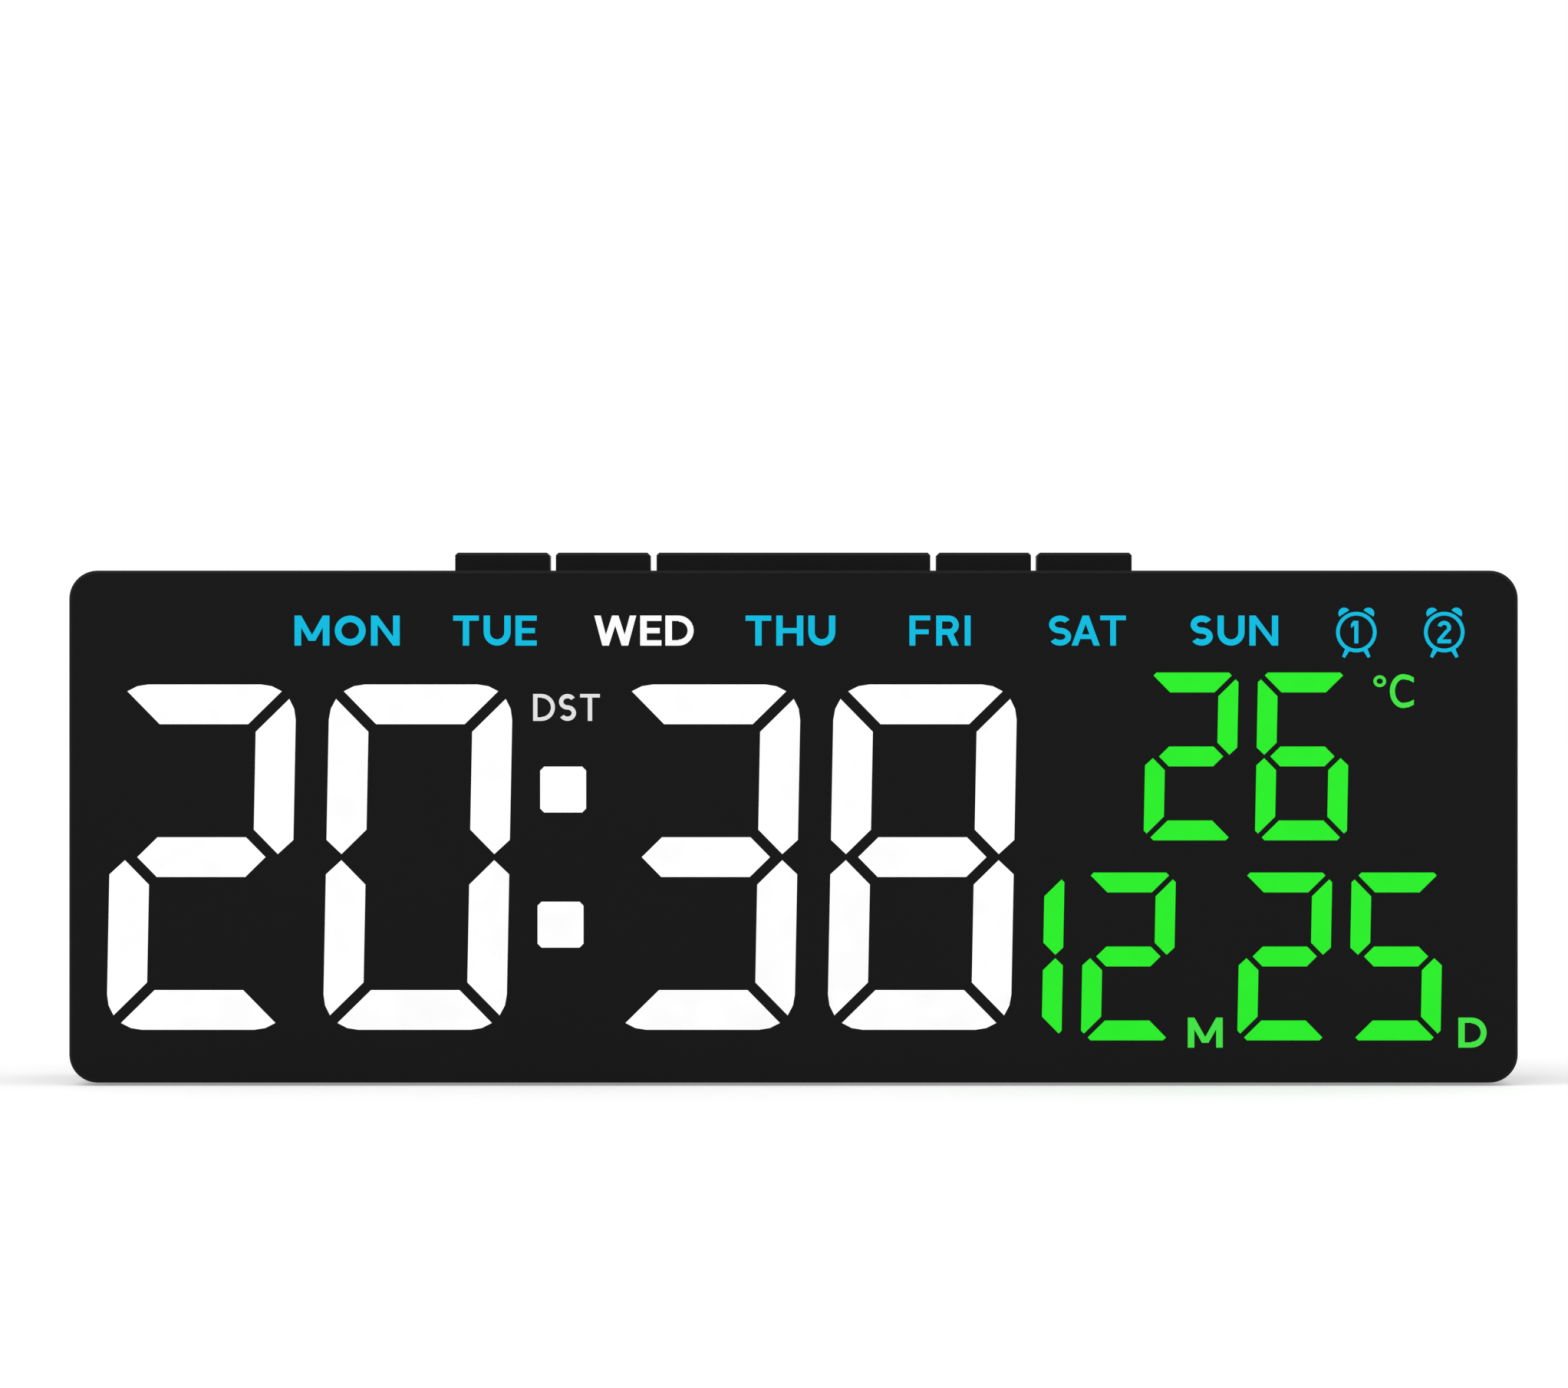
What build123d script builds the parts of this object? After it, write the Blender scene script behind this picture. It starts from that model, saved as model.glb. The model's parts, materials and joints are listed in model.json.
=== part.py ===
from build123d import *
from dataclasses import dataclass
import math
import os

# A desk alarm clock with a lit seven-segment display, five keys on top and a battery bay at the back.
# X runs to the right as seen from the front, Y from the face to the back, and Z up from the table.
# Depths are measured from the front of the face panel, and heights from the underside of the body,
# which stands on thin foot pads. All lengths are in millimetres.

os.makedirs("parts", exist_ok=True)

# Body
body_width = 164.0
body_height = 58.0
body_depth = 33.0
corner_radius = 3.2
rear_round = 2.4
wall = 1.8
panel_thickness = 1.5
panel_edge = 0.3
seam_edge = 0.3

# Clearances
fit_gap = 0.3
slide_gap = 0.3
seat_gap = 0.1
thread_gap = 0.05

# Foot pads
pad_stand = 0.35
pad_recess = 0.6
pad_width = 14.0
pad_length = 5.0
pad_corner = 1.0
pad_inset = 9.0
pad_set_back = 8.5
pad_rim = 0.65

# What the display shows
shown_hour = "20"
shown_minute = "38"
shown_temperature = "26"
shown_month = "12"
shown_day = "25"


@dataclass
class Digit:
    """The sizes of one seven-segment digit. Its gaps are the webs between segments."""

    width: float
    height: float
    stroke: float
    gap: float
    tip_gap: float
    corner: float
    corner_steps: int


# Layout of the face, from its edges inwards
time_left = 4.6
time_top = 12.9
time_bottom = 6.0
digit_gap = 3.75
colon_room = 11.85
group_gap = 3.3
colon_dot = 5.2
colon_dot_corner = 0.45
colon_spread = 15.3
small_width = 10.4
small_stroke = 2.25
small_pitch = 12.6
row_gap = 3.65
temperature_right = 30.7
temperature_top = 11.55
month_right = 50.4
day_right = 20.1
date_bottom = 4.8

# Windows of words and signs, also from the face's edges
weekday_count = 7
weekday_left = 31.4
weekday_right = 32.1
weekday_top = 6.8
weekday_window = (12.6, 4.2)
summer_top = 15.5
summer_window = (8.2, 3.8)
alarm_sign_right = 13.4
alarm_sign_pitch = 9.95
alarm_sign_window = (5.2, 6.0)
degree_right = 14.6
degree_top = 13.4
degree_window = (5.4, 4.6)
date_letter_bottom = 5.7
date_letter_window = (4.2, 4.0)
month_letter_right = 35.45
day_letter_right = 5.4

# The large digits fill what the other groups leave of the face, and the small ones share its height
date_block = month_right + small_pitch / 2 - small_width / 2 + small_stroke
time_block = body_width - time_left - date_block - group_gap
big = Digit(
    width=(time_block - colon_room - 2 * digit_gap) / 4,
    height=body_height - time_top - time_bottom,
    stroke=4.5,
    gap=1.22,
    tip_gap=0.68,
    corner=4.0,
    corner_steps=5,
)
small = Digit(
    width=small_width,
    height=(body_height - temperature_top - date_bottom - row_gap) / 2,
    stroke=small_stroke,
    gap=0.62,
    tip_gap=0.38,
    corner=1.1,
    corner_steps=1,
)
lean_angle = 1.1
notch_angle = 43.0

# Places of the display's groups: x from the middle, height from the body's underside
right_edge = body_width / 2
big_pitch = big.width + digit_gap
time_pair_offset = (colon_room + big.width + big_pitch) / 2
colon_x = time_left + big.width + big_pitch + colon_room / 2 - right_edge
time_height = time_bottom + big.height / 2
temperature_height = body_height - temperature_top - small.height / 2
date_height = date_bottom + small.height / 2
weekday_height = body_height - weekday_top
weekday_pitch = (body_width - weekday_left - weekday_right) / (weekday_count - 1)

# Light box and display board
light_box_depth = 7.0
lens_reach = 1.0
board_thickness = 1.6
ledge_width = 2.0
ledge_thickness = 1.5
chip_size = (2.4, 1.3, 0.7)

# Board screws, also used for the key board and the rear board. Small round pieces inside have few sides
small_sides = 12
small_screw_radius = 1.0
small_screw_length = 6.0
small_head_radius = 1.9
small_head_height = 1.3
small_head_taper = 12

# Keys, from left to right
key_names = ("mode_key", "up_key", "snooze_key", "down_key", "alarm_key")
key_width = 10.8
snooze_width = 31.4
key_gap = 0.75
key_depth = 8.0
key_stand = 2.25
key_edge = 0.3
key_wall = 1.4
key_travel = 0.7
flange_reach = 1.0
flange_thickness = 1.2
stem_width = 4.0
stem_drop = 1.7

# Key switches
switch_size = 6.0
switch_height = 3.6
plunger_radius = 1.7
plunger_stand = 1.3
plunger_depth = 1.4
key_board_thickness = 1.6
key_board_margin = 3.4
key_post_radius = 2.6

# Joint between the housings
tongue_height = 1.5
tongue_room = 0.9
post_size = 7.0
screw_radius = 1.3
screw_length = 12.0
screw_head_radius = 2.4
screw_head_height = 1.8
screw_well = 4.0
screw_cross = (0.7, 3.0, 0.9)

# Battery bay
cell_count = 3
cell_radius = 5.15
cell_length = 44.5
cell_nub_radius = 1.9
cell_nub_length = 1.0
cell_gap = 0.5
cell_room = 0.4
spring_room = 3.5
button_room = 1.0
contact_thickness = 0.4
contact_width = 8.0
leaf_width = 4.6
leaf_height = 6.4
leaf_flat = 2.4
contact_slot = 1.1
contact_tail = 3.0
contact_tail_reach = 1.5
cradle_rise = 3.8
bay_floor = 1.2
bay_ledge = 1.0
bay_x = -20.0
bay_lift = 4.9

# Battery door
door_thickness = 1.6
door_gap = 0.25
hook_width = 6.0
hook_spread = 30.0
hook_reach = 2.0
hook_thickness = 1.2
hook_room = 1.8
latch_width = 10.0
latch_length = 9.0
latch_slit = 0.8
latch_nib = 0.15
door_corner = 0.5
grip_depth = 0.5
grip_width = 0.8
grip_count = 3
grip_pitch = 1.9
finger_scoop_radius = 8.0
finger_scoop_reach = 2.0
finger_scoop_depth = 0.9

# Buzzer
buzzer_inset = 48.0
buzzer_height = 31.0
buzzer_radius = 6.0
buzzer_thickness = 5.5
ring_thickness = 1.0
ring_height = 4.0
sound_slot_count = 5
sound_slot_width = 1.0
sound_slot_pitch = 2.1

# Power socket and rear board
socket_inset = 24.0
socket_height = 12.0
socket_width = 8.94
socket_tall = 3.26
socket_depth = 7.4
socket_shell = 0.35
socket_recess = 0.8
socket_tongue = (6.0, 0.7, 5.2)
rear_board_width = 19.0
rear_board_length = 12.0
rear_board_thickness = 1.2
shelf_thickness = 3.0

# Vents and temperature sensor
vent_count = 4
vent_width = 9.0
vent_slot = 1.2
vent_pitch = 2.6
vent_height = 24.0
bead_radius = 1.3
bead_leg_radius = 0.3
bead_leg_pitch = 1.2

# Parts on the back of the display board
clock_chip = (10.0, 10.0, 1.5)
chip_edge = 0.3
clock_chip_inset = 56.0
clock_chip_height = 12.0
crystal_radius = 1.5
crystal_length = 8.0
ribbon_width = 10.0
ribbon_thickness = 0.3
ribbon_bend = 2.5
connector_size = (12.0, 3.0, 2.4)
ribbon_reach = 13.8
ribbon_drop = 9.0

# Wires
wire_radius = 0.5
buzzer_pin_pitch = 6.0
rear_lead_pitch = 11.0

# Derived depths, from front to back
box_back = panel_thickness + light_box_depth
board_back = box_back + board_thickness
ledge_back = board_back + ledge_thickness
key_front = ledge_back + fit_gap + flange_reach + slide_gap
key_back = key_front + key_depth
split_depth = key_back + slide_gap + flange_reach + fit_gap + tongue_height
rebate_depth = tongue_height + seat_gap
inner_back = body_depth - wall

# Derived places in the part's frame
front_y = -body_depth / 2
base_z = pad_stand
middle_z = base_z + body_height / 2
top_z = base_z + body_height
ceiling_z = top_z - wall
key_middle_y = front_y + (key_front + key_back) / 2
flange_top_z = ceiling_z - seat_gap
flange_base_z = flange_top_z - flange_thickness
stem_base_z = flange_base_z - stem_drop
switch_top_z = stem_base_z - plunger_stand
key_board_z = switch_top_z - switch_height
key_board_base_z = key_board_z - key_board_thickness
buzzer_x = right_edge - buzzer_inset
socket_x = right_edge - socket_inset
clock_chip_x = right_edge - clock_chip_inset


def at_depth(depth):
    """A plane that looks out of the face, at a depth behind it. Its own y runs up."""
    return Plane(origin=(0, front_y + depth, 0), x_dir=(1, 0, 0), z_dir=(0, -1, 0))


def body_outline(inset):
    """The body's rounded outline, drawn in by an inset."""
    with Locations((0, middle_z)):
        RectangleRounded(body_width - 2 * inset, body_height - 2 * inset, corner_radius - inset)


def room_outline(inset, mode=Mode.ADD):
    """The plain outline of the room inside the body, drawn in by an inset."""
    with Locations((0, middle_z)):
        Rectangle(body_width - 2 * inset, body_height - 2 * inset, mode=mode)


def finish(part, name):
    """Labels a finished piece and writes it under its name."""
    part.part.label = name
    export_step(part.part, f"parts/{name}.step")


# Display outlines
def leaned(x, y):
    """A point of a digit, moved sideways by the digit's lean."""
    return (x + y * math.tan(math.radians(lean_angle)), y)


def segment_points(digit, letter):
    """The corners of one segment about the digit's centre, before the outline rounds them."""
    w = digit.width / 2
    h = digit.height / 2
    s = digit.stroke
    g = digit.gap / math.sqrt(2)
    tip_in = s / 2 - g + digit.tip_gap / 2
    notch = digit.tip_gap / 2 + tip_in * math.tan(math.radians(notch_angle))
    if letter == "g":
        side = [(-w + s / 2 + g, 0), (-w + s + g, s / 2), (w - s - g, s / 2)]
        points = side + [(-x, -y) for x, y in side]
    elif letter in "ad":
        points = [(-w + g, h), (w - g, h), (w - s - g, h - s), (-w + s + g, h - s)]
    else:
        points = [(w, h - g), (w - s, h - s - g), (w - s, s / 2 + g)]
        points += [(w - tip_in, digit.tip_gap / 2), (w, notch)]
    across = -1 if letter in "ef" else 1
    upward = -1 if letter in "cde" else 1
    return [leaned(across * x, upward * y) for x, y in points]


def segment_strip(digit, letter):
    """The mitred strip of one segment, with the digit's sharp corners."""
    with BuildSketch(mode=Mode.PRIVATE) as strip:
        with BuildLine():
            Polyline(*segment_points(digit, letter), close=True)
        make_face()
    return strip.sketch


def outline_points(digit):
    """The corners of a digit's outline. Each of its four corners is eased in a few short steps."""
    points = []
    for quarter, (across, upward) in enumerate(((1, 1), (-1, 1), (-1, -1), (1, -1))):
        x = across * (digit.width / 2 - digit.corner)
        y = upward * (digit.height / 2 - digit.corner)
        for step in range(digit.corner_steps + 1):
            turn = math.radians(90 * (quarter + step / digit.corner_steps))
            points.append(leaned(x + digit.corner * math.cos(turn), y + digit.corner * math.sin(turn)))
    return points


def segment_face(digit, letter):
    """One segment: its mitred strip, cut to the digit's eased outline."""
    with BuildSketch(mode=Mode.PRIVATE) as outline:
        with BuildLine():
            Polyline(*outline_points(digit), close=True)
        make_face()
        add(segment_strip(digit, letter), mode=Mode.INTERSECT)
    return outline.sketch


def lamp_spot(digit, letter):
    """Where the light chip of one segment stands, about the digit's centre."""
    w = (digit.width - digit.stroke) / 2
    h = (digit.height - digit.stroke) / 2
    centres = {"a": (0, h), "b": (w, h / 2), "c": (w, -h / 2), "d": (0, -h)}
    centres.update({"e": (-w, -h / 2), "f": (-w, h / 2), "g": (0, 0)})
    return leaned(*centres[letter])


lit_letters = {
    "0": "abcdef",
    "1": "bc",
    "2": "abdeg",
    "3": "abcdg",
    "4": "bcfg",
    "5": "acdfg",
    "6": "acdefg",
    "7": "abc",
    "8": "abcdefg",
    "9": "abcdfg",
}


def digit_pair(name, digit, shown, x, height, pitch, tens_letters="abcdefg"):
    """The two digits of one number: name, sizes, shown figure, place and the segments they own."""
    places = ((f"{name}_tens", x - pitch / 2, tens_letters), (f"{name}_units", x + pitch / 2, "abcdefg"))
    return [
        (place, digit, figure, (place_x, base_z + height), letters)
        for (place, place_x, letters), figure in zip(places, shown)
    ]


digits = digit_pair("hour", big, shown_hour, colon_x - time_pair_offset, time_height, big_pitch)
digits += digit_pair("minute", big, shown_minute, colon_x + time_pair_offset, time_height, big_pitch)
temperature_x = right_edge - temperature_right
digits += digit_pair("temperature", small, shown_temperature, temperature_x, temperature_height, small_pitch)
digits += digit_pair("month", small, shown_month, right_edge - month_right, date_height, small_pitch, "bc")
digits += digit_pair("day", small, shown_day, right_edge - day_right, date_height, small_pitch)

colon_spots = [
    (colon_x + y * math.tan(math.radians(lean_angle)), base_z + time_height + y)
    for y in (-colon_spread / 2, colon_spread / 2)
]

word_windows = [
    (weekday_window, (weekday_left - right_edge + day * weekday_pitch, base_z + weekday_height))
    for day in range(weekday_count)
]
alarm_sign_x = right_edge - alarm_sign_right
word_windows += [
    (alarm_sign_window, (alarm_sign_x + side * alarm_sign_pitch / 2, base_z + weekday_height))
    for side in (-1, 1)
]
word_windows.append((summer_window, (colon_x, top_z - summer_top)))
word_windows.append((degree_window, (right_edge - degree_right, top_z - degree_top)))
for inset in (month_letter_right, day_letter_right):
    word_windows.append((date_letter_window, (right_edge - inset, base_z + date_letter_bottom)))


# Every segment of the display and its light well, in its place
segment_faces = {
    (name, letter): segment_face(digit, letter).moved(Location((x, z, 0)))
    for name, digit, figure, (x, z), owned in digits
    for letter in owned
}
well_faces = [
    segment_strip(digit, letter).moved(Location((x, z, 0)))
    for name, digit, figure, (x, z), owned in digits
    for letter in owned
]
figures = {name: figure for name, digit, figure, spot, owned in digits}
unlit_faces = [
    face for (name, letter), face in segment_faces.items() if letter not in lit_letters[figures[name]]
]


# The two square dots between hours and minutes
with BuildSketch(mode=Mode.PRIVATE) as dot:
    Rectangle(colon_dot, colon_dot)
    chamfer(dot.vertices(), colon_dot_corner)
colon_faces = [dot.sketch.moved(Location((x, z, 0))) for x, z in colon_spots]


def add_word_windows():
    """Draws the plain windows behind the words and signs."""
    for (width, height), spot in word_windows:
        with Locations(spot):
            Rectangle(width, height)


# Front: face panel, lenses and light box
with BuildPart() as face_panel:
    with BuildSketch(at_depth(panel_thickness)):
        body_outline(0)
    extrude(amount=panel_thickness)
    chamfer(face_panel.faces().sort_by(Axis.Y)[0].edges(), panel_edge)
    with BuildSketch(at_depth(panel_thickness)):
        add(list(segment_faces.values()) + colon_faces)
        add_word_windows()
    extrude(amount=panel_thickness, mode=Mode.SUBTRACT)
finish(face_panel, "face_panel")

lens_back = panel_thickness + lens_reach

for name, figure in figures.items():
    with BuildPart() as lit_segments:
        with BuildSketch(at_depth(lens_back)):
            add([segment_faces[name, letter] for letter in lit_letters[figure]])
        extrude(amount=lens_back)
    finish(lit_segments, f"{name}_segments")

with BuildPart() as colon_dots:
    with BuildSketch(at_depth(lens_back)):
        add(colon_faces)
    extrude(amount=lens_back)
finish(colon_dots, "colon_dots")

with BuildPart() as unlit_segments:
    with BuildSketch(at_depth(lens_back)):
        add(unlit_faces)
    extrude(amount=lens_back)
finish(unlit_segments, "unlit_segments")

with BuildPart() as indicator_windows:
    with BuildSketch(at_depth(lens_back)):
        add_word_windows()
    extrude(amount=lens_back)
finish(indicator_windows, "indicator_windows")

# The board screws stand in the free fields between the display's groups
left_field_x = colon_x - time_pair_offset - big_pitch / 2 - big.width / 4
right_field_x = (colon_x + time_pair_offset + big_pitch / 2 + big.width / 2 + temperature_x - small_pitch) / 2
ribbon_x = right_field_x - ribbon_reach
board_screw_spots = [
    (left_field_x, base_z + weekday_height),
    (colon_x, base_z + time_height),
    (right_field_x, base_z + temperature_height),
    (right_edge - day_right + small_pitch, base_z + (temperature_height + date_height + small.height) / 2),
]

with BuildPart() as light_box:
    with BuildSketch(at_depth(box_back)):
        room_outline(wall + fit_gap)
    extrude(amount=light_box_depth)
    with BuildSketch(at_depth(box_back)):
        add(well_faces + colon_faces)
        add_word_windows()
    extrude(amount=light_box_depth, mode=Mode.SUBTRACT)
    with BuildSketch(at_depth(box_back)):
        with Locations(*board_screw_spots):
            RegularPolygon(small_screw_radius + thread_gap, small_sides)
    extrude(amount=small_screw_length - board_thickness + seat_gap, mode=Mode.SUBTRACT)
finish(light_box, "light_box")

with BuildPart() as display_board:
    with BuildSketch(at_depth(board_back)):
        room_outline(wall + fit_gap)
        with Locations(*board_screw_spots):
            RegularPolygon(small_screw_radius + seat_gap, small_sides, mode=Mode.SUBTRACT)
    extrude(amount=board_thickness)
finish(display_board, "display_board")

with BuildPart() as light_chips:
    with BuildSketch(at_depth(box_back)):
        for name, digit, figure, (x, z), owned in digits:
            for letter in owned:
                dx, dz = lamp_spot(digit, letter)
                with Locations((x + dx, z + dz)):
                    Rectangle(chip_size[0], chip_size[1], rotation=0 if letter in "adg" else 90)
        with Locations(*colon_spots, *[spot for size, spot in word_windows]):
            Rectangle(chip_size[0], chip_size[1])
    extrude(amount=chip_size[2])
finish(light_chips, "light_chips")


def small_screws(plane, spots, name):
    """Small screws, driven into a plane from its outer side, each with a drawn-in head."""
    with BuildPart() as screws:
        with BuildSketch(plane):
            with Locations(*spots):
                RegularPolygon(small_head_radius, small_sides)
        extrude(amount=small_head_height, taper=small_head_taper)
        with BuildSketch(plane):
            with Locations(*spots):
                RegularPolygon(small_screw_radius, small_sides)
        extrude(amount=-small_screw_length)
    finish(screws, name)


back_plane = Plane(origin=(0, front_y + board_back, 0), x_dir=(-1, 0, 0), z_dir=(0, 1, 0))
small_screws(back_plane, [(-x, z) for x, z in board_screw_spots], "display_board_screws")

# Keys on the top
key_widths = [snooze_width if name == "snooze_key" else key_width for name in key_names]
key_row = sum(key_widths) + key_gap * (len(key_names) - 1)
key_centres = [
    -key_row / 2 + sum(key_widths[:place]) + key_gap * place + width / 2
    for place, width in enumerate(key_widths)
]
key_post_x = key_row / 2 + slide_gap + key_post_radius
key_post_spots = [(-key_post_x, key_middle_y), (key_post_x, key_middle_y)]

for name, centre_x, width in zip(key_names, key_centres, key_widths):
    with BuildPart() as key:
        with BuildSketch(Plane.XY.offset(flange_base_z)):
            with Locations((centre_x, key_middle_y)):
                Rectangle(width, key_depth)
        extrude(amount=top_z + key_stand - flange_base_z)
        chamfer(key.faces().sort_by(Axis.Z)[-1].edges(), key_edge)
        with BuildSketch(Plane.XY.offset(flange_base_z)):
            with Locations((centre_x, key_middle_y)):
                Rectangle(width, key_depth + 2 * (slide_gap + flange_reach))
        extrude(amount=flange_thickness)
        with BuildSketch(Plane.XY.offset(flange_base_z)):
            with Locations((centre_x, key_middle_y)):
                Rectangle(width - 2 * key_wall, key_depth - 2 * key_wall)
        extrude(amount=top_z + key_stand - key_wall - flange_base_z, mode=Mode.SUBTRACT)
        with BuildSketch(Plane.XY.offset(stem_base_z)):
            with Locations((centre_x, key_middle_y)):
                Rectangle(stem_width, stem_width)
                Rectangle(key_wall, key_depth - key_wall)
        extrude(amount=top_z + key_stand - key_wall / 2 - stem_base_z)
    finish(key, name)

    with BuildPart() as plunger:
        with BuildSketch(Plane.XY.offset(stem_base_z)):
            with Locations((centre_x, key_middle_y)):
                RegularPolygon(plunger_radius, small_sides)
        extrude(amount=-plunger_stand - plunger_depth)
    finish(plunger, f"{name}_plunger")

with BuildPart() as key_switches:
    with BuildSketch(Plane.XY.offset(key_board_z)):
        with Locations(*[(x, key_middle_y) for x in key_centres]):
            Rectangle(switch_size, switch_size)
    extrude(amount=switch_height)
    with BuildSketch(Plane.XY.offset(switch_top_z)):
        with Locations(*[(x, key_middle_y) for x in key_centres]):
            RegularPolygon(plunger_radius + thread_gap, small_sides)
    extrude(amount=-plunger_depth - key_travel - seat_gap, mode=Mode.SUBTRACT)
finish(key_switches, "key_switches")

key_board_length = 2 * (key_post_x + key_board_margin)
key_board_width = key_depth + 2 * flange_reach

with BuildPart() as key_board:
    with BuildSketch(Plane.XY.offset(key_board_base_z)):
        with Locations((0, key_middle_y)):
            Rectangle(key_board_length, key_board_width)
        with Locations(*key_post_spots):
            RegularPolygon(small_screw_radius + seat_gap, small_sides, mode=Mode.SUBTRACT)
    extrude(amount=key_board_thickness)
finish(key_board, "key_board")

key_screw_plane = Plane(origin=(0, 0, key_board_base_z), x_dir=(1, 0, 0), z_dir=(0, 0, -1))
small_screws(key_screw_plane, [(x, -y) for x, y in key_post_spots], "key_board_screws")

# Housings
post_x = body_width / 2 - wall - post_size / 2
post_rise = body_height / 2 - wall - post_size / 2
post_spots = [(sx * post_x, middle_z + sz * post_rise) for sx in (-1, 1) for sz in (-1, 1)]
pad_x = body_width / 2 - pad_inset - pad_width / 2
front_pad_y = front_y + pad_set_back + pad_length / 2
rear_pad_y = front_y + (split_depth + body_depth - rear_round) / 2
rear_pad_length = body_depth - rear_round - split_depth - 2 * pad_rim


def pad_faces(length, y, gap):
    """The outlines of a left and a right foot pad with cut corners, wider by a gap for their seats."""
    with BuildSketch(mode=Mode.PRIVATE) as pad:
        Rectangle(pad_width + 2 * gap, length + 2 * gap)
        chamfer(pad.vertices(), pad_corner)
    return [pad.sketch.moved(Location((x, y, 0))) for x in (-pad_x, pad_x)]


with BuildPart() as front_housing:
    with BuildSketch(at_depth(split_depth)):
        body_outline(0)
    extrude(amount=split_depth - panel_thickness)
    chamfer(front_housing.faces().sort_by(Axis.Y)[-1].edges(), seam_edge)
    with BuildSketch(at_depth(board_back)):
        room_outline(wall)
    extrude(amount=board_back - panel_thickness, mode=Mode.SUBTRACT)
    with BuildSketch(at_depth(ledge_back)):
        room_outline(wall + ledge_width)
    extrude(amount=ledge_thickness, mode=Mode.SUBTRACT)
    with BuildSketch(at_depth(split_depth)):
        room_outline(wall)
        with Locations(*post_spots):
            Rectangle(post_size, post_size, mode=Mode.SUBTRACT)
    extrude(amount=split_depth - ledge_back, mode=Mode.SUBTRACT)
    with BuildSketch(at_depth(split_depth)):
        body_outline(wall - tongue_room)
    extrude(amount=rebate_depth, mode=Mode.SUBTRACT)
    with BuildSketch(at_depth(split_depth)):
        with Locations(*post_spots):
            RegularPolygon(screw_radius + thread_gap, small_sides)
    extrude(amount=split_depth - ledge_back, mode=Mode.SUBTRACT)
    with BuildSketch(Plane.XY.offset(key_board_z)):
        with Locations(*key_post_spots):
            Circle(key_post_radius)
    extrude(amount=ceiling_z - key_board_z)
    with BuildSketch(Plane.XY.offset(key_board_z)):
        with Locations(*key_post_spots):
            RegularPolygon(small_screw_radius + thread_gap, small_sides)
    extrude(amount=small_screw_length - key_board_thickness + seat_gap, mode=Mode.SUBTRACT)
    with BuildSketch(Plane.XY.offset(ceiling_z)):
        with Locations((0, key_middle_y)):
            Rectangle(key_row + 2 * slide_gap, key_depth + 2 * slide_gap)
    extrude(amount=wall, mode=Mode.SUBTRACT)
    with BuildSketch(Plane.XY.offset(base_z)):
        add(pad_faces(pad_length, front_pad_y, seat_gap))
    extrude(amount=pad_recess, mode=Mode.SUBTRACT)
finish(front_housing, "front_housing")

# Battery bay, from the cells outwards
cell_pitch = 2 * cell_radius + cell_gap
bay_length = cell_length + spring_room + button_room
bay_rise = (cell_count - 1) * cell_pitch + 2 * (cell_radius + cell_room)
opening_length = bay_length + 2 * bay_ledge
opening_rise = bay_rise + 2 * bay_ledge
door_seat = body_depth - door_thickness - seat_gap
cell_axis = door_seat - fit_gap - cell_radius
trough_radius = cell_radius + cell_room
tray_front = cell_axis - trough_radius - bay_floor
opening_base_z = base_z + bay_lift
opening_top_z = opening_base_z + opening_rise
bay_z = opening_base_z + opening_rise / 2
cell_heights = [bay_z + (place - (cell_count - 1) / 2) * cell_pitch for place in range(cell_count)]
hook_spots = [bay_x - hook_spread / 2, bay_x + hook_spread / 2]
hook_back = body_depth - wall - 2 * seat_gap
hook_front = hook_back - hook_thickness
hook_room_front = hook_front - hook_room
tail_shift = (bay_length - contact_thickness) / 2
tail_spots = [(bay_x + tail_shift, cell_heights[0]), (bay_x - tail_shift, cell_heights[-1])]

# Rear board and socket
rear_board_z = base_z + socket_height - socket_tall / 2
rear_board_base_z = rear_board_z - rear_board_thickness
rear_board_y = front_y + inner_back - fit_gap - rear_board_length / 2
rear_screw_x = (socket_width / 2 + rear_board_width / 2) / 2
rear_screw_spots = [
    (socket_x - rear_screw_x, rear_board_y),
    (socket_x + rear_screw_x, rear_board_y),
]
shelf_length = rear_board_length + fit_gap

sound_radius = sound_slot_pitch * sound_slot_count / 2

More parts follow.
